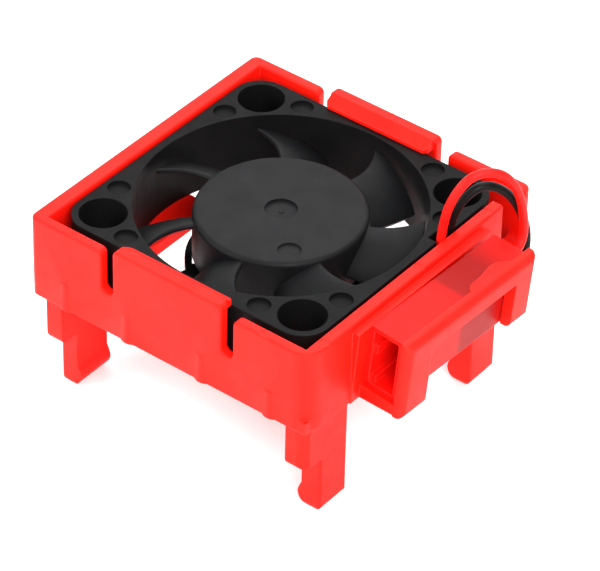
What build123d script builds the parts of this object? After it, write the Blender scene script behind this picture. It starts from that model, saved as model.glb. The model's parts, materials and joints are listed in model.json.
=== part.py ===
from build123d import *
import math
import os

# Clip-on cooling fan unit: a moulded frame with four clip legs holds a square axial fan.
# Millimetres, +Z up. The origin is on the fan's axis, in the middle of its hole pattern, inside the
# rear flange and 0.6 above the fan's rear face.

# ---------------------------------------------------------------- driving dimensions
FAN_SIZE = 30.0
FAN_REAR_Z = -0.6
FAN_TOP_Z = 7.0
FAN_CORNER_R = 2.9
HOLE_PITCH = 24.0
HOLE_R = 1.6              # clearance for an M3 screw, through the rear flange
HOLE_COUNTERBORE_R = 2.35
REAR_FLANGE = 1.6         # thickness under the counterbores
DUCT_R = 14.2

HUB_R = 8.5
HUB_TOP_Z = 6.3
HUB_BOTTOM_Z = 1.3
BLADE_COUNT = 7
BLADE_TIP_R = 13.75
SHAFT_R = 0.75
BASE_TOP_Z = 0.5          # inner face of the motor base

WALL_X_MIN = -16.85
WALL_X_MAX = 16.8
WALL_Y = 17.1
POCKET_X_MIN = -15.3
POCKET_X_MAX = 15.5
POCKET_Y = 15.95
RIM_Z = 7.35
WALL_BOTTOM_Z = -1.95
WALL_CORNER_R = 0.8
FRONT_CORNER_R = 2.2      # the corner at +X, -Y
POST_X = 17.15            # outer face of the corner post behind the leads
TAB_TOP_Z = 8.2
LEG_STEP_Z = -6.8
LEG_BOTTOM_Z = -13.6      # below the toe, before the end is rounded
LEG_INNER_LEFT_X = -13.2
LEG_INNER_RIGHT_X = 14.1

HOLDER_YAW = -2.0         # the connector and its outer wall splay away from the frame to the rear
HOLDER_LEAN = 5.0         # and lean outwards at the top
PAD_X = 17.3              # inner bearing face of the connector holder, at the connector's mid-height
CONNECTOR_WIDTH = 3.85
CONNECTOR_LENGTH = 18.1
CONNECTOR_HEIGHT = 7.3
CONNECTOR_FRONT_Y = -9.0
CONNECTOR_BOTTOM_Z = -0.5
CONTACT_PITCH = 2.5

LEAD_R = 0.45
NOTCH_X = 14.0            # bottom of the fan's lead notch
NOTCH_Y_MIN = 4.55
NOTCH_Y_MAX = 7.6
NOTCH_FLOOR_Z = 0.2

# Centre lines of the two leads, from the fan's notch over the wall to the connector's rear.
RED_ROUTE = [
    (14.8, 5.4, 0.2), (14.8, 5.4, 4.1), (14.95, 5.4, 8.0), (15.25, 6.1, 11.1), (16.4, 7.8, 13.8),
    (18.2, 10.1, 13.6), (19.25, 11.6, 11.0), (19.55, 12.3, 7.7), (19.75, 12.1, 4.9), (19.95, 9.7, 4.25),
    (19.94, 7.12, 4.25),
]
BLACK_ROUTE = [
    (14.8, 6.75, 0.2), (14.8, 6.75, 4.1), (14.85, 6.8, 8.0), (15.5, 7.7, 10.5), (16.7, 9.4, 11.9),
    (18.0, 11.5, 10.4), (18.75, 13.1, 7.4), (19.2, 13.7, 4.1), (19.5, 12.5, 1.4), (19.77, 9.8, 1.65),
    (19.72, 7.12, 1.75),
]


# ---------------------------------------------------------------- small helpers
def block(x0, x1, y0, y1, z0, z1):
    """A box between two corners."""
    return Pos((x0 + x1) / 2, (y0 + y1) / 2, (z0 + z1) / 2) * Box(x1 - x0, y1 - y0, z1 - z0)


def disc(radius, z0, z1, x=0.0, y=0.0):
    """An upright cylinder between two heights."""
    return Pos(x, y, (z0 + z1) / 2) * Cylinder(radius, z1 - z0)


def ring(outer, inner, z0, z1):
    """An upright tube between two heights."""
    return disc(outer, z0, z1) - disc(inner, z0 - 1, z1 + 1)


def rounded_block(x0, x1, y0, y1, z0, z1, radius):
    """A box whose upright edges are rounded."""
    outline = RectangleRounded(x1 - x0, y1 - y0, radius)
    return Pos((x0 + x1) / 2, (y0 + y1) / 2, z0) * extrude(outline, z1 - z0)


def face_of(points):
    """A flat face inside a closed outline of straight edges."""
    return make_face(Polyline(*points, close=True))


def save(shape, name):
    """Write one sub-part as its own STEP file."""
    os.makedirs("parts", exist_ok=True)
    solids = shape.solids()
    body = solids[0] if len(solids) == 1 else Compound(children=solids)
    export_step(body, f"parts/{name}.step")


# ---------------------------------------------------------------- the moulded frame
SLOT_WIDTH = 1.4
SLOT_BOTTOM_Z = 2.7
SLOT_X = (-7.3, 7.15)
TAB_FLAT_Y = 15.95
TAB_LIP_Y = 14.75
TAB_LIP_Z = 7.05
TAB_SLOPE_END_Z = 7.45


def slotted_wall(sign):
    """One of the two walls whose middle third is a snap tab, between two slots."""
    tab_left = SLOT_X[0] + SLOT_WIDTH / 2
    tab_right = SLOT_X[1] - SLOT_WIDTH / 2
    mid_x = (WALL_X_MIN + WALL_X_MAX) / 2
    height = RIM_Z - WALL_BOTTOM_Z
    outline = Pos(mid_x, WALL_BOTTOM_Z + height / 2) * Rectangle(WALL_X_MAX - WALL_X_MIN, height)
    tab_mid = (tab_left + tab_right) / 2
    outline += Pos(tab_mid, (TAB_TOP_Z + SLOT_BOTTOM_Z) / 2) * Rectangle(
        tab_right - tab_left, TAB_TOP_Z - SLOT_BOTTOM_Z)
    for x in SLOT_X:
        slot_top = TAB_TOP_Z + 1
        outline -= Pos(x, (slot_top + SLOT_BOTTOM_Z) / 2) * Rectangle(SLOT_WIDTH, slot_top - SLOT_BOTTOM_Z)
    tops = [v for v in outline.vertices() if v.Y > RIM_Z - 0.01 and abs(v.X) < 12]
    outline = fillet(tops, 0.6)
    floors = [v for v in outline.vertices() if abs(v.Y - SLOT_BOTTOM_Z) < 0.01]
    outline = fillet(floors, 0.6)
    thickness = WALL_Y - POCKET_Y
    wall = extrude(Plane.XZ * outline, thickness)
    wall = wall.moved(Location((0, thickness, 0)))
    start = POCKET_Y if sign > 0 else -WALL_Y
    return wall.moved(Location((0, start, 0)))


def tab_lip(sign):
    """The wedge on a tab's inner side that snaps over the fan's top edge."""
    x0 = SLOT_X[0] + SLOT_WIDTH / 2 + 0.35
    x1 = SLOT_X[1] - SLOT_WIDTH / 2 - 0.35
    section = [
        (WALL_Y - 0.4, TAB_TOP_Z), (TAB_FLAT_Y, TAB_TOP_Z), (TAB_LIP_Y, TAB_SLOPE_END_Z),
        (TAB_LIP_Y, TAB_LIP_Z), (WALL_Y - 0.4, TAB_LIP_Z),
    ]
    lip = extrude(Plane.YZ * face_of(section), x1 - x0).moved(Location((x0, 0, 0)))
    uprights = [e for e in lip.edges() if abs(e.center().Y - TAB_LIP_Y) < 0.01 and e.length < 1.0]
    lip = chamfer(uprights, 0.35)
    return lip if sign > 0 else mirror(lip, Plane.XZ)


def frame_walls():
    """The four walls round the fan, with rounded corners and rounded rims."""
    shell = outline_column(0, WALL_BOTTOM_Z, TAB_TOP_Z)
    left = block(WALL_X_MIN, POCKET_X_MIN, -WALL_Y, WALL_Y, WALL_BOTTOM_Z, RIM_Z)
    right = block(POCKET_X_MAX, WALL_X_MAX, -WALL_Y, WALL_Y, WALL_BOTTOM_Z, RIM_Z)
    walls = (left + right + slotted_wall(1) + slotted_wall(-1)) & shell
    level = [e for e in walls.edges() if e.bounding_box().size.Z < 0.01]
    rims = [e for e in level if abs(e.center().Z - RIM_Z) < 0.01]
    tab_tops = [e for e in level if abs(e.center().Z - TAB_TOP_Z) < 0.01 and on_slotted_face(e)]
    slots = [e for e in walls.edges() if on_slotted_face(e) and e.center().Z > SLOT_BOTTOM_Z - 0.01]
    walls = fillet(unique(rims + tab_tops + slots), 0.25)
    feet = [e for e in walls.edges() if abs(e.center().Z - WALL_BOTTOM_Z) < 0.01 and on_outline(e)]
    return fillet(feet, 0.25)


def outline_column(inset, z0, z1):
    """A column with the outline of the four walls, its front corner rounder than the rest."""
    outline = Pos((WALL_X_MIN + WALL_X_MAX) / 2, 0) * Rectangle(
        WALL_X_MAX - WALL_X_MIN - 2 * inset, 2 * (WALL_Y - inset))
    front = [v for v in outline.vertices() if v.X > 0 and v.Y < 0]
    outline = fillet(front, FRONT_CORNER_R - inset)
    others = [v for v in outline.vertices() if v.X * v.Y > 0 and abs(v.Y) > WALL_Y - inset - 0.01]
    others += [v for v in outline.vertices() if v.X < 0 and v.Y > 0]
    outline = fillet(others, WALL_CORNER_R - inset)
    return Pos(0, 0, z0) * extrude(outline, z1 - z0)


def corner_post():
    """The slightly thicker corner behind the gap for the leads."""
    post = rounded_block(14.0, POST_X, 14.0, WALL_Y, WALL_BOTTOM_Z, RIM_Z, 0.9)
    post = fillet(post.edges().group_by(Axis.Z)[-1], 0.25)
    return post - block(0, POCKET_X_MAX, 0, POCKET_Y, WALL_BOTTOM_Z - 1, RIM_Z + 1)


def on_slotted_face(edge):
    """Whether an edge lies in the outer face of one of the two slotted walls."""
    return abs(abs(edge.center().Y) - WALL_Y) < 0.01


def on_outline(edge):
    """Whether an edge lies on the outside of the walls."""
    middle = edge.center()
    return on_slotted_face(edge) or middle.X < WALL_X_MIN + 0.5 or middle.X > WALL_X_MAX - 0.5


def unique(edges):
    """The same edges with repeats left out."""
    kept = []
    for edge in edges:
        if not any(edge.is_same(other) for other in kept):
            kept.append(edge)
    return kept


RIB_X = (-12.6, -5.0, 4.0, 12.1)
RIB_Y = (-11.6, 0.6, 12.9)
RIB_PROUD = 0.12
RIB_WIDTH = 1.1
RIB_SHORT_TOP_Z = 1.2     # the ribs on the slotted walls stop below the slots
PAD_FRONT_Y = -10.7
PAD_REAR_Y = 9.6
PAD_TOP_Z = 6.6


def wall_ribs():
    """Low upright ribs, each a shallow arc in section, on three outer faces."""
    radius = (RIB_WIDTH ** 2 / 4 + RIB_PROUD ** 2) / (2 * RIB_PROUD)
    low = WALL_BOTTOM_Z
    high = RIM_Z - 0.3
    ribs = []
    for x in RIB_X:
        for sign in (-1, 1):
            rod = disc(radius, low, RIB_SHORT_TOP_Z, x, sign * (WALL_Y + RIB_PROUD - radius))
            near = min(sign * (WALL_Y - 0.4), sign * (WALL_Y + 0.4))
            ribs.append(rod & block(x - 1, x + 1, near, near + 0.8, low, RIB_SHORT_TOP_Z))
    for y in RIB_Y:
        rod = disc(radius, low, high, WALL_X_MIN - RIB_PROUD + radius, y)
        ribs.append(rod & block(WALL_X_MIN - 0.4, WALL_X_MIN + 0.4, y - 1, y + 1, low, high))
    return ribs


LEDGE_Y_MIN = -7.0
LEDGE_Y_MAX = 3.2
LEDGE_CORNER_R = 2.0
LEDGE_LEFT_X = -11.2
LEDGE_RIGHT_X = 11.4
LEG_END_Y = 16.95
LEG_UPPER_INNER_Y = 10.3
LEG_REAR_UPPER_INNER_Y = 9.4


def rest_ledges():
    """The ledges under the fan: a tongue on each plain wall and a shelf over each leg."""
    left = rounded_block(LEDGE_LEFT_X - 9, LEDGE_LEFT_X, LEDGE_Y_MIN, LEDGE_Y_MAX,
                         WALL_BOTTOM_Z, FAN_REAR_Z, LEDGE_CORNER_R)
    right = rounded_block(LEDGE_RIGHT_X, LEDGE_RIGHT_X + 9, LEDGE_Y_MIN, LEDGE_Y_MAX,
                          WALL_BOTTOM_Z, FAN_REAR_Z, LEDGE_CORNER_R)
    inside = block(WALL_X_MIN + 0.4, WALL_X_MAX - 0.4, -WALL_Y, WALL_Y, WALL_BOTTOM_Z, FAN_REAR_Z)
    shelves = []
    for y0, y1 in ((-LEG_END_Y, -LEG_UPPER_INNER_Y), (LEG_REAR_UPPER_INNER_Y, LEG_END_Y)):
        shelves.append(block(WALL_X_MIN + 0.4, LEG_INNER_LEFT_X, y0, y1, WALL_BOTTOM_Z, FAN_REAR_Z))
        shelves.append(block(LEG_INNER_RIGHT_X, WALL_X_MAX - 0.4, y0, y1, WALL_BOTTOM_Z, FAN_REAR_Z))
    return [left & inside, right & inside] + shelves


HOOK_TOP_Z = -10.65
HOOK_PROUD = 0.42
TOE_OUTER_Z = -12.75      # where the rounded end meets the leg's outer face


def leg_section(inner_x, outer_x):
    """The leg's end-on outline: straight above, a rounded hook on the inner face, a rounded toe below."""
    toward = 1 if outer_x > inner_x else -1
    top = WALL_BOTTOM_Z + 0.5
    end = Spline(
        (inner_x, HOOK_TOP_Z), (inner_x - toward * 0.3, -11.35), (inner_x - toward * HOOK_PROUD, -12.0),
        (inner_x - toward * 0.1, -12.8), (inner_x + toward * 0.75, -13.42), (inner_x + toward * 1.35, -13.4),
        (outer_x, TOE_OUTER_Z))
    return make_face([
        Line((inner_x, top), (inner_x, HOOK_TOP_Z)), end, Line((outer_x, TOE_OUTER_Z), (outer_x, top)),
        Line((outer_x, top), (inner_x, top)),
    ])


def clip_leg(inner_x, outer_x, outer_y, step_y, inner_y):
    """A flat leg: a wide upper plate, a narrower blade below it and a hook on the inner face."""
    toward = 1 if outer_x > inner_x else -1
    outline = face_of([
        (outer_y, WALL_BOTTOM_Z + 0.5), (outer_y, LEG_STEP_Z), (step_y, LEG_STEP_Z),
        (step_y, LEG_BOTTOM_Z), (inner_y, LEG_BOTTOM_Z), (inner_y, WALL_BOTTOM_Z + 0.5),
    ])
    outer_corner = [v for v in outline.vertices() if abs(v.X - outer_y) < 0.01 and v.Y < LEG_STEP_Z + 0.01]
    outline = fillet(outer_corner, 0.9)
    toes = [v for v in outline.vertices() if v.Y < LEG_BOTTOM_Z + 0.01]
    outline = fillet(toes, 0.9)
    start = inner_x - toward * 0.6
    plate = extrude(Plane.YZ * outline, abs(outer_x - start)).moved(Location((min(start, outer_x), 0, 0)))
    outer_face = plate.faces().sort_by(Axis.X)[-1 if toward > 0 else 0]
    plate = fillet(outer_face.edges(), 0.3)
    across = extrude(Plane.XZ * leg_section(inner_x, outer_x), -60).moved(Location((0, -30, 0)))
    return plate & across & outline_column(0.1, LEG_BOTTOM_Z, 0)


def clip_legs():
    """Four legs that go down the sides of the controller and hook under its edges."""
    left_outer = LEG_INNER_LEFT_X - 2.0
    right_outer = LEG_INNER_RIGHT_X + 2.25
    return [
        clip_leg(LEG_INNER_LEFT_X, left_outer, -LEG_END_Y, -14.75, -LEG_UPPER_INNER_Y),
        clip_leg(LEG_INNER_RIGHT_X, right_outer, -LEG_END_Y, -14.3, -LEG_UPPER_INNER_Y),
        clip_leg(LEG_INNER_LEFT_X, left_outer, LEG_END_Y, 13.5, LEG_REAR_UPPER_INNER_Y),
        clip_leg(LEG_INNER_RIGHT_X, right_outer, LEG_END_Y, 13.5, LEG_REAR_UPPER_INNER_Y),
    ]


HOLDER_GAP = 0.08
HOLDER_THICKNESS = 1.2
HOLDER_TOP_Z = 7.3
HOLDER_BOTTOM_Z = -1.85
HOLDER_EDGE_R = 0.9
HOLDER_REAR_BOTTOM_Z = -0.45  # the rear post ends higher than the front one
REAR_FLOOR_Y = 7.9
HOLDER_FRONT_Y = -9.5
HOLDER_REAR_Y = 9.5
WINDOW_FRONT_Y = -6.1
WINDOW_REAR_Y = 6.5
WINDOW_TOP_Z = 5.25
LATCH_Y0 = 0.6
LATCH_Y1 = 6.9
LATCH_REACH = 0.95


def splay(shape):
    """Lean a shape about the connector's middle and turn it about its front inner corner."""
    pivot = Pos(PAD_X + 0.05, CONNECTOR_FRONT_Y, 0)
    axle = Pos(CONNECTOR_WIDTH / 2, 0, CONNECTOR_BOTTOM_Z + CONNECTOR_HEIGHT / 2)
    back = Pos(-CONNECTOR_WIDTH / 2, 0, -CONNECTOR_BOTTOM_Z - CONNECTOR_HEIGHT / 2)
    return pivot * Rot(0, 0, HOLDER_YAW) * axle * Rot(0, HOLDER_LEAN, 0) * back * shape


def holder_pad():
    """The pad on the wall that the connector leans against; its face leans like the connector's."""
    slope = math.tan(math.radians(HOLDER_LEAN))
    middle = CONNECTOR_BOTTOM_Z + CONNECTOR_HEIGHT / 2
    low = PAD_X + slope * (WALL_BOTTOM_Z - middle)
    high = PAD_X + slope * (PAD_TOP_Z - middle)
    start = WALL_X_MAX - 0.3
    section = face_of([(start, WALL_BOTTOM_Z), (low, WALL_BOTTOM_Z), (high, PAD_TOP_Z), (start, PAD_TOP_Z)])
    pad = extrude(Plane.XZ * section, PAD_FRONT_Y - PAD_REAR_Y)
    return pad.moved(Location((0, PAD_FRONT_Y, 0)))


def holder_wall(inner, outer, front, rear):
    """The holder's outer wall before its window: rounded outer edges, rounded ends."""
    low = HOLDER_BOTTOM_Z - 1
    middle = (low + HOLDER_TOP_Z) / 2
    section = Pos((inner + outer) / 2, middle) * Rectangle(outer - inner, HOLDER_TOP_Z - low)
    section = fillet([v for v in section.vertices() if v.X > inner + 0.1 and v.Y > middle], HOLDER_EDGE_R)
    along = extrude(Plane.XZ * section, front - rear).moved(Location((0, front, 0)))
    plan = Pos((inner + outer) / 2, (front + rear) / 2) * Rectangle(outer - inner, rear - front)
    plan = fillet([v for v in plan.vertices() if v.X > inner + 0.1], 0.8)
    return along & (Pos(0, 0, low - 1) * extrude(plan, HOLDER_TOP_Z - low + 2))


def post_ends(outer, front, rear, split):
    """The room that the two posts may fill, with rounded lower outer edges, the rear one ending higher."""
    rooms = []
    for y0, y1, low in ((front - 1, split, HOLDER_BOTTOM_Z), (split, rear + 1, HOLDER_REAR_BOTTOM_Z)):
        room = block(-3, outer, y0, y1, low, HOLDER_TOP_Z + 2)
        lower = room.edges().filter_by(Axis.Y).group_by(Axis.Z)[0].sort_by(Axis.X)[-1]
        rooms.append(fillet([lower], HOLDER_EDGE_R))
    return rooms[0] + rooms[1]


def holder():
    """The connector holder: a pad on the wall, two floors, and a windowed outer wall with a latch lip."""
    inner = CONNECTOR_WIDTH + HOLDER_GAP
    outer = inner + HOLDER_THICKNESS
    front = HOLDER_FRONT_Y - CONNECTOR_FRONT_Y
    rear = HOLDER_REAR_Y - CONNECTOR_FRONT_Y
    window_front = WINDOW_FRONT_Y - CONNECTOR_FRONT_Y
    window_rear = WINDOW_REAR_Y - CONNECTOR_FRONT_Y
    wall = holder_wall(inner, outer, front, rear)
    window = block(inner - 1, outer + 1, window_front, window_rear, HOLDER_BOTTOM_Z - 2, WINDOW_TOP_Z)
    window = fillet(window.edges().filter_by(Axis.X).group_by(Axis.Z)[-1], 0.25)
    wall = splay((wall - window) & post_ends(outer, front, rear, (window_front + window_rear) / 2))
    floor_rear = REAR_FLOOR_Y - CONNECTOR_FRONT_Y
    front_floor = block(-1.0, inner - 0.1, front, window_front, HOLDER_BOTTOM_Z, 0.3)
    rear_floor = block(-1.5, inner + 0.1, floor_rear, rear, HOLDER_REAR_BOTTOM_Z - 0.75, 0.3)
    level = Pos(PAD_X + 0.05, CONNECTOR_FRONT_Y, 0) * Rot(0, 0, HOLDER_YAW)
    room = block(-0.04, inner, front - 1, rear + 1, CONNECTOR_BOTTOM_Z - 0.03, HOLDER_TOP_Z + 1)
    return holder_pad() + (wall + level * (front_floor + rear_floor) - splay(room) + splay(latch_lip(inner)))


def latch_lip(inner):
    """The rounded lip on the holder's top bar that keeps the connector down."""
    y0 = LATCH_Y0 - CONNECTOR_FRONT_Y
    y1 = LATCH_Y1 - CONNECTOR_FRONT_Y
    lift = CONNECTOR_BOTTOM_Z + CONNECTOR_HEIGHT + 0.03
    curve = Spline(
        (inner + 0.3, y0), (inner - 0.35, y0 + 0.35), (inner - 0.7, y0 + 2.4),
        (inner - LATCH_REACH, y1 - 1.7), (inner - 0.5, y1 - 0.75), (inner + 0.3, y1))
    outline = make_face([curve, Line((inner + 0.3, y1), (inner + 0.3, y0))])
    return Pos(0, 0, lift) * extrude(outline, HOLDER_TOP_Z - lift)


LEAD_GAP_Y = 12.7
LEAD_GAP_Z = 1.4
MARK_R = 0.55
MARK_DEPTH = 0.08
MARKS = ((16.1, -14.2), (16.1, 0.1), (16.1, 11.0), (-11.5, -16.5), (11.4, -16.5))


def make_mount_frame():
    """The whole red moulding."""
    body = frame_walls() + tab_lip(1) + tab_lip(-1)
    for piece in [corner_post()] + wall_ribs() + rest_ledges() + clip_legs():
        body += piece
    body += holder()
    gap = block(POCKET_X_MAX - 1, WALL_X_MAX + 3, LEAD_GAP_Y, POCKET_Y, LEAD_GAP_Z, RIM_Z + 1)
    low_corner = gap.edges().filter_by(Axis.X).group_by(Axis.Z)[0]
    gap = fillet(low_corner, 0.8)
    body -= gap
    for x, y in MARKS:
        body -= disc(MARK_R, RIM_Z - MARK_DEPTH, RIM_Z + 1, x, y)
    return body


# ---------------------------------------------------------------- the fan's housing
DIMPLE_R = 1.15
DIMPLE_DEPTH = 0.4
DIMPLE_NEAR = 8.0
DIMPLE_FAR = 13.4
BASE_R = 7.4              # the raised middle that carries the board
BASE_RIM_R = 9.2          # the thinner rim round it, a little wider than the hub
BASE_SLOT_INNER_R = 7.5
BASE_SLOT_OUTER_R = 8.5
BASE_SLOT_START = 197.0
BASE_SLOT_END = 225.5
STRUT_TOP_Z = 0.35
STRUT_COUNT = 3
STRUT_START_ANGLE = 231.0
STRUT_SWEEP = 16.5
STRUT_INNER_WIDTH = 1.1
STRUT_OUTER_WIDTH = 2.2
LABEL_R = 6.9
LABEL_THICKNESS = 0.1
TUBE_R = 2.1
TUBE_BORE_R = 1.6
TUBE_BOTTOM_Z = -0.1
TUBE_TOP_Z = 4.4


def polar(radius, degrees):
    """A point at a radius and angle about the fan's axis."""
    angle = math.radians(degrees)
    return (radius * math.cos(angle), radius * math.sin(angle))


def strut():
    """One swept strut from the motor base to the duct wall, wider at the duct."""
    r0 = BASE_R - 0.25
    r1 = DUCT_R + 0.4
    middle = (r0 + r1) / 2
    half_in = math.degrees(STRUT_INNER_WIDTH / 2 / r0)
    half_mid = math.degrees(1.35 / 2 / middle)
    half_out = math.degrees(STRUT_OUTER_WIDTH / 2 / r1)
    start = STRUT_START_ANGLE
    mid_angle = start + 0.42 * STRUT_SWEEP
    end = start + STRUT_SWEEP
    lower = ThreePointArc(polar(r0, start - half_in), polar(middle, mid_angle - half_mid),
                          polar(r1, end - half_out))
    upper = ThreePointArc(polar(r0, start + half_in), polar(middle, mid_angle + half_mid),
                          polar(r1, end + half_out))
    outline = make_face([lower, Line(lower @ 1, upper @ 1), upper, Line(upper @ 0, lower @ 0)])
    return Pos(0, 0, FAN_REAR_Z) * extrude(outline, STRUT_TOP_Z - FAN_REAR_Z)


def base_slot():
    """An arc-shaped air slot through the rim of the motor base."""
    middle = (BASE_SLOT_START + BASE_SLOT_END) / 2
    wedge = face_of([(0, 0), polar(12, BASE_SLOT_START), polar(14, middle), polar(12, BASE_SLOT_END)])
    outline = (Circle(BASE_SLOT_OUTER_R) - Circle(BASE_SLOT_INNER_R)) & wedge
    return Pos(0, 0, FAN_REAR_Z - 1) * extrude(outline, BASE_TOP_Z - FAN_REAR_Z + 2)


def make_fan_frame():
    """The black housing: square body, duct, motor base with air slots, and struts."""
    half = FAN_SIZE / 2
    low = FAN_REAR_Z - 1
    high = FAN_TOP_Z + 1
    body = rounded_block(-half, half, -half, half, FAN_REAR_Z, FAN_TOP_Z, FAN_CORNER_R)
    body -= disc(DUCT_R, low, high)
    for sx in (-1, 1):
        for sy in (-1, 1):
            x = sx * HOLE_PITCH / 2
            y = sy * HOLE_PITCH / 2
            body -= disc(HOLE_R, low, high, x, y)
            body -= disc(HOLE_COUNTERBORE_R, FAN_REAR_Z + REAR_FLANGE, high, x, y)
            for dx, dy in ((DIMPLE_NEAR, DIMPLE_FAR), (DIMPLE_FAR, DIMPLE_NEAR)):
                body -= disc(DIMPLE_R, FAN_TOP_Z - DIMPLE_DEPTH, high, sx * dx, sy * dy)
    body -= block(NOTCH_X, half + 1, NOTCH_Y_MIN, NOTCH_Y_MAX, NOTCH_FLOOR_Z, high)
    base = disc(BASE_R, FAN_REAR_Z, BASE_TOP_Z) + disc(BASE_RIM_R, FAN_REAR_Z, STRUT_TOP_Z)
    base -= disc(LABEL_R + 0.1, low, FAN_REAR_Z + LABEL_THICKNESS + 0.02)
    base -= disc(TUBE_R, TUBE_BOTTOM_Z, high)
    slot = base_slot()
    arm = strut()
    for number in range(STRUT_COUNT):
        turn = Rot(0, 0, number * 360 / STRUT_COUNT)
        base -= turn * slot
        body += turn * arm
    body += base
    return body


# ---------------------------------------------------------------- the rotor
HUB_WALL = 0.65
HUB_ROOF = 0.8
HUB_BOSS_R = 1.7
HUB_BOSS_Z = 4.75
SHAFT_TOP_Z = 5.7
SHAFT_END_Z = 0.25
YOKE_THICKNESS = 0.5
MAGNET_THICKNESS = 1.2
CLIP_Z = 0.4
CLIP_THICKNESS = 0.2
CLIP_GROOVE_R = 0.55
LEAD_EDGE_ROOT = 26.8     # angle of the upper, leading edge at the hub
LEAD_EDGE_SWEEP = 8.4     # how far it has advanced at the tip, growing with the square of the reach
TRAIL_EDGE_ROOT = -4.9
TRAIL_EDGE_SWEEP = 10.8
LEAD_EDGE_Z = 5.8
TRAIL_EDGE_ROOT_Z = 2.85
TRAIL_EDGE_TIP_Z = 2.5
BLADE_NOSE = 0.6          # thickness at the rounded leading edge
BLADE_TAIL = 0.35         # thickness at the trailing edge
BLADE_CAMBER = 0.5


def blade_section(radius):
    """A cambered section of a blade, square to its middle radius, with a rounded leading edge."""
    share = (radius - HUB_R) / (BLADE_TIP_R - HUB_R)
    lead = LEAD_EDGE_ROOT + LEAD_EDGE_SWEEP * share * abs(share)
    trail = TRAIL_EDGE_ROOT + TRAIL_EDGE_SWEEP * share
    low = TRAIL_EDGE_ROOT_Z + (TRAIL_EDGE_TIP_Z - TRAIL_EDGE_ROOT_Z) * share
    half = math.radians(lead - trail) / 2
    reach = radius * math.sin(half)
    nose = BLADE_NOSE / 2
    front_x = reach - nose
    chord = math.hypot(front_x + reach, LEAD_EDGE_Z - low)
    camber_x = -BLADE_CAMBER * (LEAD_EDGE_Z - low) / chord
    camber_z = BLADE_CAMBER * (front_x + reach) / chord
    mid_x = (front_x - reach) / 2 + camber_x
    mid_z = (LEAD_EDGE_Z + low) / 2 + camber_z
    mean_thickness = (BLADE_NOSE + BLADE_TAIL) / 2
    upper = ThreePointArc((front_x, LEAD_EDGE_Z), (mid_x, mid_z), (-reach, low))
    lower = ThreePointArc((-reach + 0.15, low - BLADE_TAIL), (mid_x, mid_z - mean_thickness),
                          (front_x, LEAD_EDGE_Z - BLADE_NOSE))
    front = ThreePointArc(lower @ 1, (reach, LEAD_EDGE_Z - nose), upper @ 0)
    outline = make_face([upper, Line(upper @ 1, lower @ 0), lower, front])
    middle = (lead + trail) / 2
    x, y = polar(radius * math.cos(half), middle)
    angle = math.radians(middle)
    plane = Plane(origin=(x, y, 0), x_dir=(-math.sin(angle), math.cos(angle), 0),
                  z_dir=(math.cos(angle), math.sin(angle), 0))
    # The section's second axis is +Z, because z_dir cross x_dir points up.
    return plane * outline


def blade():
    """One blade, lofted through three sections and trimmed to the tip radius."""
    body = loft([blade_section(8.2), blade_section(11.2), blade_section(15.0)])
    return body & ring(BLADE_TIP_R, HUB_R - 0.3, 0, FAN_TOP_Z)


def make_impeller():
    """The hub cup with its seven blades."""
    hub = disc(HUB_R, HUB_BOTTOM_Z, HUB_TOP_Z)
    rim = hub.edges().filter_by(GeomType.CIRCLE).group_by(Axis.Z)[-1]
    hub = fillet(rim, 0.55)
    hub -= disc(HUB_R - HUB_WALL, HUB_BOTTOM_Z - 1, HUB_TOP_Z - HUB_ROOF)
    hub += disc(HUB_BOSS_R, HUB_BOSS_Z, HUB_TOP_Z - HUB_ROOF + 0.1)
    hub -= disc(SHAFT_R, 0, SHAFT_TOP_Z)
    hub -= disc(1.6, HUB_TOP_Z - 0.3, HUB_TOP_Z + 1)
    hub += disc(0.3, HUB_TOP_Z - 0.4, HUB_TOP_Z - 0.22)
    hub -= disc(1.15, HUB_TOP_Z - 0.22, HUB_TOP_Z + 1, 4.56, -4.5)
    one = blade()
    for number in range(BLADE_COUNT):
        hub += Rot(0, 0, number * 360 / BLADE_COUNT) * one
    return hub


def make_shaft():
    """The steel shaft with the clip's groove near its lower end."""
    body = disc(SHAFT_R, SHAFT_END_Z, SHAFT_TOP_Z)
    return body - ring(SHAFT_R + 1, CLIP_GROOVE_R, CLIP_Z, CLIP_Z + CLIP_THICKNESS)


def make_retaining_clip():
    """The split washer in the shaft's groove."""
    washer = ring(1.25, CLIP_GROOVE_R, CLIP_Z, CLIP_Z + CLIP_THICKNESS)
    return washer - block(0, 3, -0.15, 0.15, 0, 3)


# ---------------------------------------------------------------- bearing and stator
CORE_R = 5.9
CORE_HUB_R = 3.0
CORE_BOTTOM_Z = 2.2
CORE_TOP_Z = 3.6
NECK_WIDTH = 1.8
SHOE_INNER_R = 5.2
SHOE_ANGLE = 70.0
INSULATOR = 0.3
COIL_INNER_R = 3.2
COIL_OUTER_R = 4.75
COIL_BUILD = 0.65
POLE_COUNT = 4
BOARD_R = 7.0
BOARD_THICKNESS = 0.5


def pole_outline(shoe_inner, outer_r, neck, shoe_angle):
    """One pole of the stator: a straight neck and an arc-shaped shoe along +X."""
    neck_face = Pos(outer_r / 2, 0) * Rectangle(outer_r, neck)
    wedge = face_of([(0, 0), polar(12, -shoe_angle / 2), (13, 0), polar(12, shoe_angle / 2)])
    shoe = (Circle(outer_r) - Circle(shoe_inner)) & wedge
    return (neck_face & Circle(outer_r)) + shoe


def make_stator_core():
    """The laminated four-pole core."""
    outline = Circle(CORE_HUB_R)
    for number in range(POLE_COUNT):
        pole = pole_outline(SHOE_INNER_R, CORE_R, NECK_WIDTH, SHOE_ANGLE)
        outline += Rot(0, 0, number * 360 / POLE_COUNT) * pole
    outline -= Circle(TUBE_R)
    return Pos(0, 0, CORE_BOTTOM_Z) * extrude(outline, CORE_TOP_Z - CORE_BOTTOM_Z)


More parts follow.
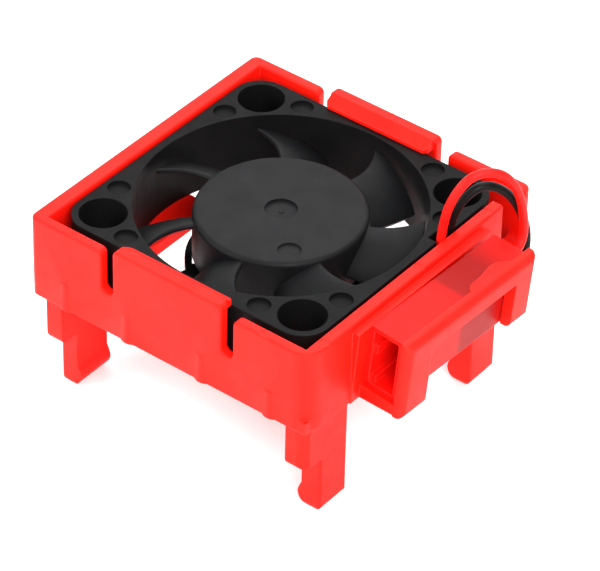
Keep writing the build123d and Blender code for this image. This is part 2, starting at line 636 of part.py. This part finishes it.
def make_insulator(z0, z1):
    """A plastic end frame with the same plan as the core, a little smaller at the shoes."""
    outline = Circle(CORE_HUB_R)
    for number in range(POLE_COUNT):
        pole = pole_outline(SHOE_INNER_R - 0.1, CORE_R - 0.25, NECK_WIDTH, SHOE_ANGLE - 8)
        outline += Rot(0, 0, number * 360 / POLE_COUNT) * pole
    outline -= Circle(TUBE_R)
    return Pos(0, 0, z0) * extrude(outline, z1 - z0)


def make_coil(number):
    """The winding round one pole's neck."""
    low = CORE_BOTTOM_Z - INSULATOR
    high = CORE_TOP_Z + INSULATOR
    half = NECK_WIDTH / 2
    outer = block(COIL_INNER_R, COIL_OUTER_R, -half - COIL_BUILD, half + COIL_BUILD, low - 0.35, high + 0.35)
    outer = fillet(outer.edges().filter_by(Axis.X), 0.3)
    coil = outer - block(0, 10, -half, half, low, high)
    return Rot(0, 0, number * 360 / POLE_COUNT) * coil


def make_circuit_board():
    """The ring-shaped board that lies on the motor base."""
    return ring(BOARD_R, TUBE_R + 0.15, BASE_TOP_Z, BASE_TOP_Z + BOARD_THICKNESS)


def board_component(length, width, height, radius, degrees):
    """A small part standing on the circuit board."""
    top = BASE_TOP_Z + BOARD_THICKNESS
    x, y = polar(radius, degrees)
    body = Box(length, width, height, align=(Align.CENTER, Align.CENTER, Align.MIN))
    return Pos(x, y, top) * Rot(0, 0, degrees) * body


# ---------------------------------------------------------------- connector and leads
CAVITY_DEPTH = 9.6
CAVITY_WALL = 0.5
CHANNEL_R = 0.95
CONTACT_R = 0.88
PIN_R = 0.32
CONTACT_END = 16.2        # distance from the housing's front at which the crimp meets the lead


def contact_heights():
    """Heights of the two contacts' axes."""
    middle = CONNECTOR_BOTTOM_Z + CONNECTOR_HEIGHT / 2 - 0.15
    return (middle + CONTACT_PITCH / 2, middle - CONTACT_PITCH / 2)


def along_y(radius, y0, y1, x, z):
    """A round bar along Y."""
    return Pos(x, (y0 + y1) / 2, z) * Rot(90, 0, 0) * Cylinder(radius, y1 - y0)


def make_connector_housing():
    """The two-pin housing: an open shroud in front and two wire channels behind."""
    middle_x = CONNECTOR_WIDTH / 2
    top = CONNECTOR_BOTTOM_Z + CONNECTOR_HEIGHT
    body = block(0, CONNECTOR_WIDTH, 0, CONNECTOR_LENGTH, CONNECTOR_BOTTOM_Z, top)
    body = fillet(body.edges().filter_by(Axis.Y), 0.25)
    wall = CAVITY_WALL
    cavity = block(wall, CONNECTOR_WIDTH - wall, -1, CAVITY_DEPTH, CONNECTOR_BOTTOM_Z + wall, top - wall)
    cavity = fillet(cavity.edges().filter_by(Axis.Y), 0.2)
    key = block(wall - 0.1, wall + 0.4, 0.3, CAVITY_DEPTH + 0.1, top - 3.3, top - 2.3)
    foot = block(wall - 0.1, wall + 0.55, 0.3, CAVITY_DEPTH + 0.1, CONNECTOR_BOTTOM_Z + wall - 0.1,
                 CONNECTOR_BOTTOM_Z + wall + 0.8)
    body = body - cavity + key + foot
    for z in contact_heights():
        body -= along_y(CHANNEL_R, CAVITY_DEPTH - 1, CONNECTOR_LENGTH + 1, middle_x, z)
    return splay(body)


def make_contact(z):
    """A crimped contact: a pin in the shroud, a body in its channel and a crimp barrel behind."""
    x = CONNECTOR_WIDTH / 2
    pin = along_y(PIN_R, CAVITY_DEPTH - 4.5, CAVITY_DEPTH + 0.5, x, z)
    shank = along_y(CONTACT_R, CAVITY_DEPTH + 0.3, CONTACT_END, x, z)
    return splay(pin + shank)


def lead_path(route, name):
    """Straight runs joined by tangent arcs, each as large as its two runs allow."""
    points = [Vector(*p) for p in route]
    radii = []
    for before, here, after in zip(points, points[1:], points[2:]):
        turn = math.radians((here - before).get_angle(after - here))
        shorter = min((here - before).length, (after - here).length)
        radii.append(0.45 * shorter / math.tan(turn / 2))
    path = FilletPolyline(*points, radius=radii)
    print(name, "radii", [round(r, 2) for r in radii], "length", round(path.length, 2))
    return path


def make_lead(route, name):
    """One round insulated wire."""
    path = lead_path(route, name)
    section = Plane(origin=path @ 0, z_dir=path % 0) * Circle(LEAD_R)
    body = sweep(section, path=path)
    print(name, "volume", round(body.volume, 3), "expected", round(math.pi * LEAD_R ** 2 * path.length, 3))
    return body


# ---------------------------------------------------------------- write every piece
def main():
    upper_z, lower_z = contact_heights()
    pieces = {
        "mount_frame": make_mount_frame(),
        "fan_frame": make_fan_frame(),
        "impeller": make_impeller(),
        "rotor_yoke": ring(HUB_R - HUB_WALL, HUB_R - HUB_WALL - YOKE_THICKNESS, 1.5, HUB_TOP_Z - HUB_ROOF),
        "rotor_magnet": ring(HUB_R - HUB_WALL - YOKE_THICKNESS,
                             HUB_R - HUB_WALL - YOKE_THICKNESS - MAGNET_THICKNESS, 1.7, 4.9),
        "shaft": make_shaft(),
        "retaining_clip": make_retaining_clip(),
        "bearing_tube": ring(TUBE_R, TUBE_BORE_R, TUBE_BOTTOM_Z, TUBE_TOP_Z),
        "sleeve_bearing": ring(TUBE_BORE_R, SHAFT_R + 0.02, 0.7, 4.1),
        "oil_ring": ring(TUBE_BORE_R, SHAFT_R + 0.25, 4.1, TUBE_TOP_Z - 0.05),
        "thrust_pad": disc(TUBE_BORE_R, TUBE_BOTTOM_Z, SHAFT_END_Z - 0.05),
        "stator_core": make_stator_core(),
        "upper_insulator": make_insulator(CORE_TOP_Z, CORE_TOP_Z + INSULATOR),
        "lower_insulator": make_insulator(CORE_BOTTOM_Z - INSULATOR, CORE_BOTTOM_Z),
        "circuit_board": make_circuit_board(),
        "driver_chip": board_component(1.2, 1.8, 0.3, 5.2, 45),
        "filter_capacitor": board_component(1.0, 0.6, 0.3, 5.3, 135),
        "rear_label": disc(LABEL_R, FAN_REAR_Z, FAN_REAR_Z + LABEL_THICKNESS),
        "connector_housing": make_connector_housing(),
        "upper_contact": make_contact(upper_z),
        "lower_contact": make_contact(lower_z),
        "red_lead": make_lead(RED_ROUTE, "red_lead"),
        "black_lead": make_lead(BLACK_ROUTE, "black_lead"),
    }
    for number in range(POLE_COUNT):
        pieces[f"stator_coil_{number + 1}"] = make_coil(number)
    for name, shape in pieces.items():
        save(shape, name)


main()
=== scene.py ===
import json
import math

import bmesh
import bpy
from mathutils import Matrix, Vector

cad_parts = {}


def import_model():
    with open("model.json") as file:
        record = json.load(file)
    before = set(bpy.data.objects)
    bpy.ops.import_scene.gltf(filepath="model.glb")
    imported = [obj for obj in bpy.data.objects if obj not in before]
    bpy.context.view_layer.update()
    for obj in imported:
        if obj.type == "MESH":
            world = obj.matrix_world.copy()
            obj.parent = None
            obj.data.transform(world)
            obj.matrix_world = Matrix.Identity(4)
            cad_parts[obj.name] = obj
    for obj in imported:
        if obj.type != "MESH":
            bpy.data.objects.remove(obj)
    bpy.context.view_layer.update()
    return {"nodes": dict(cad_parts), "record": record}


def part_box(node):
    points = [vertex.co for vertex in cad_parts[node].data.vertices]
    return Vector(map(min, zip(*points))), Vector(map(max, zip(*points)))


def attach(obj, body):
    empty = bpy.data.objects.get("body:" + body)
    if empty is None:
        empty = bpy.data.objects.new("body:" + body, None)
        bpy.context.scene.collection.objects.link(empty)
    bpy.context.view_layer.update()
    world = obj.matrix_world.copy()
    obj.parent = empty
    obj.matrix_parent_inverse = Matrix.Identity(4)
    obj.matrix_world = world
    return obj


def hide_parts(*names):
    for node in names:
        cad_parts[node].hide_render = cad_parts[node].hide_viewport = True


# Metres throughout, in the CAD's frame: the origin is on the fan's axis, just above its rear face, +Z up.
MM = 0.001

# ---------------------------------------------------------------- camera
CAMERA_AZIMUTH = math.radians(37.28)
CAMERA_ELEVATION = math.radians(38.67)
CAMERA_ROLL = math.radians(1.41)
CAMERA_DISTANCE = 0.375
CAMERA_LENS = 236.8
CAMERA_AIM = Vector((0.00463, -0.00282, 0.00104))

# ---------------------------------------------------------------- leads
LEAD_DIAMETER = 0.0009
RED_ROUTE = [
    (0.0148, 0.0054, 0.0002), (0.0148, 0.0054, 0.0041), (0.01495, 0.0054, 0.008),
    (0.01525, 0.0061, 0.0111), (0.0164, 0.0078, 0.0138), (0.0182, 0.0101, 0.0136),
    (0.01925, 0.0116, 0.011), (0.01955, 0.0123, 0.0077), (0.01975, 0.0121, 0.0049),
    (0.01995, 0.0097, 0.00425), (0.01994, 0.00712, 0.00425),
]
BLACK_ROUTE = [
    (0.0148, 0.00675, 0.0002), (0.0148, 0.00675, 0.0041), (0.01485, 0.0068, 0.008),
    (0.0155, 0.0077, 0.0105), (0.0167, 0.0094, 0.0119), (0.018, 0.0115, 0.0104),
    (0.01875, 0.0131, 0.0074), (0.0192, 0.0137, 0.0041), (0.0195, 0.0125, 0.0014),
    (0.01977, 0.0098, 0.00165), (0.01972, 0.00712, 0.00175),
]

# ---------------------------------------------------------------- light and floor
SURROUND_STRENGTH = 1.05
# Each light: its name, its place, the side of its square and its power.
LIGHTS = [
    ("key", (0.45, -0.35, 0.45), 0.35, 4.5),
    ("fill", (-0.35, -0.5, 0.3), 0.4, 2.4),
    ("top", (-0.1, 0.25, 0.6), 0.5, 3.0),
]
FLOOR_REACH = 0.9
FLOOR_BEND = 0.25
FLOOR_BEND_STEPS = 12
FLOOR_HALF_WIDTH = 2
# Keeps the shadows on the floor faint.
FLOOR_GLOW = 0.15

# Edges that turn by more than this stay sharp.
SMOOTH_ANGLE = math.radians(28)


# ---------------------------------------------------------------- node helpers
def new_material(name):
    """A material with its node tree, its Principled shader and its object coordinates."""
    material = bpy.data.materials.new(name)
    material.use_nodes = True
    tree = material.node_tree
    shader = tree.nodes["Principled BSDF"]
    place = tree.nodes.new("ShaderNodeTexCoord").outputs["Object"]
    return material, tree, shader, place


def noise(tree, place, size, detail=3.0, roughness=0.5):
    """Noise whose features are about size metres across; gives its factor, from 0 to 1."""
    node = tree.nodes.new("ShaderNodeTexNoise")
    node.inputs["Scale"].default_value = 1 / size
    node.inputs["Detail"].default_value = detail
    node.inputs["Roughness"].default_value = roughness
    tree.links.new(place, node.inputs["Vector"])
    return node.outputs["Fac"]


def remap(tree, value, low, high, to_low, to_high):
    """A value's range low to high made to_low to to_high, held at both ends."""
    node = tree.nodes.new("ShaderNodeMapRange")
    for index, number in enumerate((low, high, to_low, to_high)):
        node.inputs[index + 1].default_value = number
    tree.links.new(value, node.inputs[0])
    return node.outputs[0]


def mix(tree, share, first, second):
    """Two colours mixed; each is a colour tuple or a socket."""
    node = tree.nodes.new("ShaderNodeMix")
    node.data_type = "RGBA"
    tree.links.new(share, node.inputs["Factor"])
    for socket, colour in ((node.inputs[6], first), (node.inputs[7], second)):
        if isinstance(colour, tuple):
            socket.default_value = (*colour, 1)
        else:
            tree.links.new(colour, socket)
    return node.outputs[2]


def bump(tree, height, depth, normal=None):
    """A bump of about depth metres; gives the normal."""
    node = tree.nodes.new("ShaderNodeBump")
    node.inputs["Strength"].default_value = 1
    node.inputs["Distance"].default_value = depth
    tree.links.new(height, node.inputs["Height"])
    if normal is not None:
        tree.links.new(normal, node.inputs["Normal"])
    return node.outputs["Normal"]


def soft_edges(tree, radius):
    """Normals that turn smoothly over an edge of that radius, and a mask that is 1 on the edges."""
    bevel = tree.nodes.new("ShaderNodeBevel")
    bevel.samples = 6
    bevel.inputs["Radius"].default_value = radius
    flat = tree.nodes.new("ShaderNodeNewGeometry").outputs["Normal"]
    dot = tree.nodes.new("ShaderNodeVectorMath")
    dot.operation = "DOT_PRODUCT"
    tree.links.new(bevel.outputs["Normal"], dot.inputs[0])
    tree.links.new(flat, dot.inputs[1])
    mask = remap(tree, dot.outputs["Value"], 0.98, 0.75, 0, 1)
    return bevel.outputs["Normal"], mask


def multiply(tree, first, second):
    """The product of two values; each is a number or a socket."""
    node = tree.nodes.new("ShaderNodeMath")
    node.operation = "MULTIPLY"
    for socket, value in zip(node.inputs, (first, second)):
        if isinstance(value, (int, float)):
            socket.default_value = value
        else:
            tree.links.new(value, socket)
    return node.outputs[0]


def moulded_plastic(name, colour, shade, edge, roughness, grain, edge_radius=0.12 * MM, subsurface=0.0,
                    sheen=0.22):
    """Injection-moulded plastic: cloudy colour, fine grain, paler edges that are a painted highlight, and a
    patchy gloss.
    """
    material, tree, shader, place = new_material(name)
    normal, edges = soft_edges(tree, edge_radius)
    clouds = noise(tree, place, 5 * MM, 4)
    base = mix(tree, remap(tree, clouds, 0.35, 0.65, 0, 1), colour, shade)
    # Painted highlight: the edges are made paler, in patches, where light catches the rims.
    highlight_breakup = remap(tree, noise(tree, place, 0.6 * MM, 6), 0.45, 0.7, 0.25, 1)
    base = mix(tree, multiply(tree, edges, highlight_breakup), base, edge)
    tree.links.new(base, shader.inputs["Base Color"])
    patches = noise(tree, place, 2.2 * MM, 5, 0.6)
    gloss = remap(tree, patches, 0.3, 0.7, roughness - 0.06, roughness + 0.08)
    tree.links.new(gloss, shader.inputs["Roughness"])
    fine = noise(tree, place, grain, 3)
    normal = bump(tree, fine, grain * 0.06, normal)
    normal = bump(tree, noise(tree, place, 1.8 * MM, 2), 0.012 * MM, normal)
    tree.links.new(normal, shader.inputs["Normal"])
    shader.inputs["Specular IOR Level"].default_value = sheen
    if subsurface:
        shader.inputs["Subsurface Weight"].default_value = subsurface
        shader.inputs["Subsurface Radius"].default_value = (1.0, 0.25, 0.2)
        shader.inputs["Subsurface Scale"].default_value = 0.7 * MM
    return material


# ---------------------------------------------------------------- materials
def red_moulding():
    # The third colour is the painted highlight on the edges.
    return moulded_plastic("red_moulding", (0.95, 0.009, 0.003), (0.88, 0.006, 0.002), (1.0, 0.06, 0.04),
                           0.46, 0.12 * MM, edge_radius=0.2 * MM, subsurface=0.12, sheen=0.15)


def fan_plastic():
    # The third colour is the painted highlight on the edges.
    return moulded_plastic("fan_plastic", (0.005, 0.005, 0.0052), (0.0038, 0.0038, 0.004),
                           (0.013, 0.013, 0.014), 0.52, 0.09 * MM, sheen=0.08)


def rotor_plastic():
    # The third colour is the painted highlight on the edges.
    return moulded_plastic("rotor_plastic", (0.0058, 0.006, 0.0066), (0.0046, 0.0047, 0.0053),
                           (0.015, 0.015, 0.017), 0.48, 0.08 * MM, sheen=0.13)


def connector_plastic():
    """Translucent red: bright over the hollow shroud, darker over the solid part, paler at its end."""
    material, tree, shader, place = new_material("connector_plastic")
    normal, edges = soft_edges(tree, 0.12 * MM)
    along = tree.nodes.new("ShaderNodeSeparateXYZ")
    tree.links.new(place, along.inputs[0])
    low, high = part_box("connector_housing")
    middle = low.y + (high.y - low.y) * 0.5
    rear = remap(tree, along.outputs["Y"], middle - 1.9 * MM, middle + 0.3 * MM, 0, 1)
    end = remap(tree, along.outputs["Y"], high.y - 4.5 * MM, high.y - 0.5 * MM, 1, 0.45)
    base = mix(tree, multiply(tree, rear, end), (0.86, 0.006, 0.004), (0.27, 0.004, 0.003))
    # Painted highlight: the edges are made paler.
    base = mix(tree, multiply(tree, edges, 0.6), base, (1.0, 0.07, 0.05))
    tree.links.new(base, shader.inputs["Base Color"])
    shader.inputs["Subsurface Weight"].default_value = 0.35
    shader.inputs["Subsurface Radius"].default_value = (1.0, 0.2, 0.15)
    shader.inputs["Subsurface Scale"].default_value = 0.8 * MM
    shader.inputs["Specular IOR Level"].default_value = 0.1
    gloss = remap(tree, noise(tree, place, 2 * MM, 5), 0.3, 0.7, 0.36, 0.44)
    tree.links.new(gloss, shader.inputs["Roughness"])
    waves = bump(tree, noise(tree, place, 0.9 * MM, 3), 0.01 * MM, normal)
    tree.links.new(waves, shader.inputs["Normal"])
    return material


def insulation(name, colour, pale, sheen):
    """Soft extruded wire insulation: glossy, with faint streaks along it and a little dust."""
    material, tree, shader, place = new_material(name)
    streaks = noise(tree, place, 0.8 * MM, 5, 0.6)
    base = mix(tree, remap(tree, streaks, 0.4, 0.75, 0, 1), colour, pale)
    tree.links.new(base, shader.inputs["Base Color"])
    tree.links.new(remap(tree, streaks, 0.3, 0.7, 0.34, 0.5), shader.inputs["Roughness"])
    tree.links.new(bump(tree, noise(tree, place, 0.3 * MM, 3), 0.008 * MM), shader.inputs["Normal"])
    shader.inputs["Specular IOR Level"].default_value = sheen
    return material


def red_insulation():
    return insulation("red_insulation", (0.8, 0.006, 0.004), (0.92, 0.012, 0.008), 0.15)


def black_insulation():
    return insulation("black_insulation", (0.002, 0.002, 0.0022), (0.005, 0.005, 0.0055), 0.12)


def metal(name, colour, worn, roughness, size=0.4 * MM):
    """Bare or plated metal with fine marks."""
    material, tree, shader, place = new_material(name)
    marks = noise(tree, place, size, 6, 0.65)
    base = mix(tree, remap(tree, marks, 0.35, 0.7, 0, 1), colour, worn)
    tree.links.new(base, shader.inputs["Base Color"])
    shader.inputs["Metallic"].default_value = 1
    gloss = remap(tree, marks, 0.3, 0.7, roughness - 0.08, roughness + 0.12)
    tree.links.new(gloss, shader.inputs["Roughness"])
    tree.links.new(bump(tree, marks, 0.004 * MM), shader.inputs["Normal"])
    return material


def dull(name, colour, second, roughness, size):
    """A plain non-metal with mottling at one scale."""
    material, tree, shader, place = new_material(name)
    mottle = noise(tree, place, size, 5, 0.6)
    base = mix(tree, remap(tree, mottle, 0.35, 0.65, 0, 1), colour, second)
    tree.links.new(base, shader.inputs["Base Color"])
    gloss = remap(tree, mottle, 0.3, 0.7, roughness - 0.05, roughness + 0.05)
    tree.links.new(gloss, shader.inputs["Roughness"])
    tree.links.new(bump(tree, mottle, size * 0.05), shader.inputs["Normal"])
    return material


MATERIALS = {
    "red_moulding": red_moulding,
    "fan_plastic": fan_plastic,
    "rotor_plastic": rotor_plastic,
    "connector_plastic": connector_plastic,
    "red_insulation": red_insulation,
    "black_insulation": black_insulation,
    "steel": lambda: metal("steel", (0.62, 0.62, 0.64), (0.45, 0.45, 0.47), 0.28),
    "yoke_steel": lambda: metal("yoke_steel", (0.45, 0.45, 0.46), (0.3, 0.3, 0.31), 0.4),
    "magnet": lambda: dull("magnet", (0.07, 0.065, 0.06), (0.11, 0.1, 0.095), 0.7, 0.2 * MM),
    "brass": lambda: metal("brass", (0.8, 0.6, 0.26), (0.62, 0.44, 0.17), 0.3),
    "sintered_bronze": lambda: metal("sintered_bronze", (0.5, 0.35, 0.18), (0.3, 0.2, 0.1), 0.5, 0.12 * MM),
    "felt": lambda: dull("felt", (0.75, 0.72, 0.64), (0.62, 0.58, 0.5), 0.9, 0.1 * MM),
    "lamination": lambda: metal("lamination", (0.34, 0.34, 0.35), (0.2, 0.19, 0.19), 0.5),
    "insulator": lambda: dull("insulator", (0.85, 0.84, 0.78), (0.78, 0.77, 0.7), 0.5, 0.8 * MM),
    "copper_winding": lambda: metal("copper_winding", (0.72, 0.3, 0.12), (0.5, 0.18, 0.07), 0.32, 0.2 * MM),
    "board": lambda: dull("board", (0.03, 0.2, 0.08), (0.05, 0.3, 0.13), 0.35, 1.5 * MM),
    "chip_package": lambda: dull("chip_package", (0.02, 0.02, 0.02), (0.035, 0.035, 0.035), 0.6, 0.2 * MM),
    "ceramic": lambda: dull("ceramic", (0.5, 0.38, 0.24), (0.6, 0.47, 0.3), 0.45, 0.3 * MM),
    "label": lambda: dull("label", (0.05, 0.05, 0.055), (0.07, 0.07, 0.075), 0.35, 1.2 * MM),
    "tinned": lambda: metal("tinned", (0.75, 0.75, 0.73), (0.6, 0.6, 0.58), 0.3),
}


# ---------------------------------------------------------------- CAD nodes
def smooth_by_angle():
    """A geometry node group that joins doubled points and smooths all but the sharp edges."""
    group = bpy.data.node_groups.new("smooth_by_angle", "GeometryNodeTree")
    group.interface.new_socket("Geometry", in_out="INPUT", socket_type="NodeSocketGeometry")
    group.interface.new_socket("Geometry", in_out="OUTPUT", socket_type="NodeSocketGeometry")
    inside = group.nodes.new("NodeGroupInput")
    outside = group.nodes.new("NodeGroupOutput")
    merge = group.nodes.new("GeometryNodeMergeByDistance")
    merge.inputs["Distance"].default_value = 1e-6
    angle = group.nodes.new("GeometryNodeInputMeshEdgeAngle")
    sharp = group.nodes.new("FunctionNodeCompare")
    sharp.operation = "GREATER_THAN"
    sharp.inputs[1].default_value = SMOOTH_ANGLE
    faces = group.nodes.new("GeometryNodeSetShadeSmooth")
    faces.domain = "FACE"
    edges = group.nodes.new("GeometryNodeSetShadeSmooth")
    edges.domain = "EDGE"
    edges.inputs["Shade Smooth"].default_value = False
    link = group.links.new
    link(inside.outputs[0], merge.inputs["Geometry"])
    link(merge.outputs["Geometry"], faces.inputs["Geometry"])
    link(faces.outputs["Geometry"], edges.inputs["Geometry"])
    link(angle.outputs["Unsigned Angle"], sharp.inputs[0])
    link(sharp.outputs["Result"], edges.inputs["Selection"])
    link(edges.outputs["Geometry"], outside.inputs[0])
    return group


def dress_nodes(frame):
    """Gives every CAD node its material and smooth shading."""
    slots = {entry["node"]: entry["material_slot"] for entry in frame["record"]["subparts"]}
    materials = {slot: make() for slot, make in MATERIALS.items()}
    smoothing = smooth_by_angle()
    for name, node in frame["nodes"].items():
        node.data.materials.clear()
        node.data.materials.append(materials[slots[name]])
        modifier = node.modifiers.new("smooth", "NODES")
        modifier.node_group = smoothing
    return materials


# ---------------------------------------------------------------- leads
def lead(name, route, material):
    """One insulated wire along its route."""
    curve = bpy.data.curves.new(name, "CURVE")
    curve.dimensions = "3D"
    curve.bevel_depth = LEAD_DIAMETER / 2
    curve.bevel_resolution = 8
    curve.resolution_u = 24
    curve.use_fill_caps = True
    spline = curve.splines.new("NURBS")
    spline.points.add(len(route) - 1)
    for point, place in zip(spline.points, route):
        point.co = (*place, 1)
    spline.order_u = 3
    spline.use_endpoint_u = True
    wire = bpy.data.objects.new(name, curve)
    wire.data.materials.append(material)
    bpy.context.scene.collection.objects.link(wire)
    return wire


def make_leads(materials):
    """The fan's two leads, from its notch to the connector."""
    red = lead("red_wire", RED_ROUTE, materials["red_insulation"])
    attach(red, "housing")
    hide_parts("red_lead")
    black = lead("black_wire", BLACK_ROUTE, materials["black_insulation"])
    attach(black, "housing")
    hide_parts("black_lead")


# ---------------------------------------------------------------- studio
def make_floor():
    """A pale floor under the legs that curves up behind the object."""
    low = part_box("mount_frame")[0]
    mesh = bpy.data.meshes.new("floor")
    form = bmesh.new()
    flat_end = FLOOR_REACH - FLOOR_BEND
    profile = [(-FLOOR_REACH, 0.0), (flat_end, 0.0)]
    for step in range(1, FLOOR_BEND_STEPS + 1):
        turn = math.pi / 2 * step / FLOOR_BEND_STEPS
        profile.append((flat_end + FLOOR_BEND * math.sin(turn), FLOOR_BEND - FLOOR_BEND * math.cos(turn)))
    profile.append((FLOOR_REACH, FLOOR_REACH))
    rows = []
    away = Vector((-math.sin(CAMERA_AZIMUTH), math.cos(CAMERA_AZIMUTH), 0))
    across = Vector((math.cos(CAMERA_AZIMUTH), math.sin(CAMERA_AZIMUTH), 0))
    for depth, height in profile:
        base = away * depth + Vector((0, 0, low.z + height))
        side = across * FLOOR_HALF_WIDTH
        rows.append([form.verts.new(base - side), form.verts.new(base + side)])
    for near, far in zip(rows, rows[1:]):
        form.faces.new((near[0], near[1], far[1], far[0]))
    form.to_mesh(mesh)
    form.free()
    mesh.shade_smooth()
    floor = bpy.data.objects.new("floor", mesh)
    material, tree, shader, place = new_material("floor_paper")
    fibres = noise(tree, place, 3 * MM, 4)
    tree.links.new(mix(tree, fibres, (0.93, 0.93, 0.93), (0.95, 0.95, 0.95)), shader.inputs["Base Color"])
    shader.inputs["Roughness"].default_value = 0.9
    shader.inputs["Emission Color"].default_value = (1, 1, 1, 1)
    shader.inputs["Emission Strength"].default_value = FLOOR_GLOW
    mesh.materials.append(material)
    bpy.context.scene.collection.objects.link(floor)


def area_light(name, place, size, power):
    """A soft square light that points at the object."""
    data = bpy.data.lights.new(name, "AREA")
    data.shape = "SQUARE"
    data.size = size
    data.energy = power
    light = bpy.data.objects.new(name, data)
    light.location = place
    light.rotation_euler = (CAMERA_AIM - Vector(place)).to_track_quat("-Z", "Y").to_euler()
    bpy.context.scene.collection.objects.link(light)


def make_lights():
    """Soft studio light: an even white surround and the square lights."""
    world = bpy.data.worlds.new("studio")
    world.use_nodes = True
    background = world.node_tree.nodes["Background"]
    background.inputs["Color"].default_value = (1, 1, 1, 1)
    background.inputs["Strength"].default_value = SURROUND_STRENGTH
    bpy.context.scene.world = world
    for name, place, size, power in LIGHTS:
        area_light(name, place, size, power)


def make_camera():
    """The camera, turned about the aim point by azimuth, elevation and roll."""
    back = Vector((math.sin(CAMERA_AZIMUTH) * math.cos(CAMERA_ELEVATION),
                   -math.cos(CAMERA_AZIMUTH) * math.cos(CAMERA_ELEVATION),
                   math.sin(CAMERA_ELEVATION)))
    level = Vector((math.cos(CAMERA_AZIMUTH), math.sin(CAMERA_AZIMUTH), 0))
    upright = back.cross(level)
    right = level * math.cos(CAMERA_ROLL) + upright * math.sin(CAMERA_ROLL)
    up = upright * math.cos(CAMERA_ROLL) - level * math.sin(CAMERA_ROLL)
    data = bpy.data.cameras.new("camera")
    data.lens = CAMERA_LENS
    data.sensor_width = 36
    data.clip_start = 0.01
    data.clip_end = 10
    camera = bpy.data.objects.new("camera", data)
    turn = Matrix((right, up, back)).transposed().to_4x4()
    camera.matrix_world = Matrix.Translation(CAMERA_AIM + back * CAMERA_DISTANCE) @ turn
    bpy.context.scene.collection.objects.link(camera)
    bpy.context.scene.camera = camera


def main():
    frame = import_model()
    bpy.context.scene.view_settings.view_transform = "Standard"
    make_camera()
    make_lights()
    make_floor()
    materials = dress_nodes(frame)
    make_leads(materials)


main()
